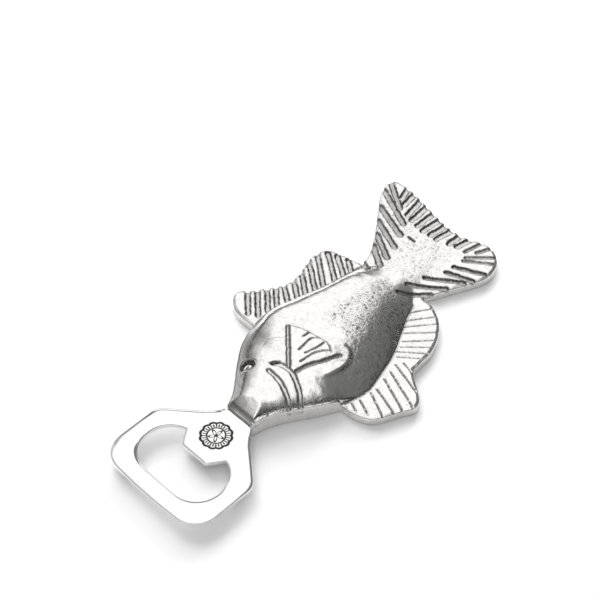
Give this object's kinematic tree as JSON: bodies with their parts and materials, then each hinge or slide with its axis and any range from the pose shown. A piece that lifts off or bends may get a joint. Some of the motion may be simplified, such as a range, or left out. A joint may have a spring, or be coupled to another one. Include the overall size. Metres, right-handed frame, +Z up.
{
  "type": "souvenir bottle opener",
  "caption": "Cast aluminium fish with a flat back and grooved fins, its mouth holding a polished steel ring with a lifting tab for crown caps.",
  "frame": {"origin": "centre of the footprint, on the plane of the flat back that the opener lies on", "axes": "+X from the ring towards the fish's tail, +Y towards the dorsal fin, +Z up out of the modelled face"},
  "size_m": [0.1659, 0.0818, 0.013],
  "materials": {
    "polished_steel": "mirror-polished stainless steel plate with a fine grain from the last buff",
    "cast_aluminium": "sand-cast aluminium, polished on the high places, pitted and darkened in the grooves",
    "pin_steel": "plain ground steel pin, dressed flush with the back",
    "adhesive": "set grey epoxy adhesive"
  },
  "bodies": {
    "root": {"opener_head": "polished_steel", "fish_handle": "cast_aluminium", "retaining_pin": "pin_steel", "epoxy_bed": "adhesive"}
  },
  "joints": []
}
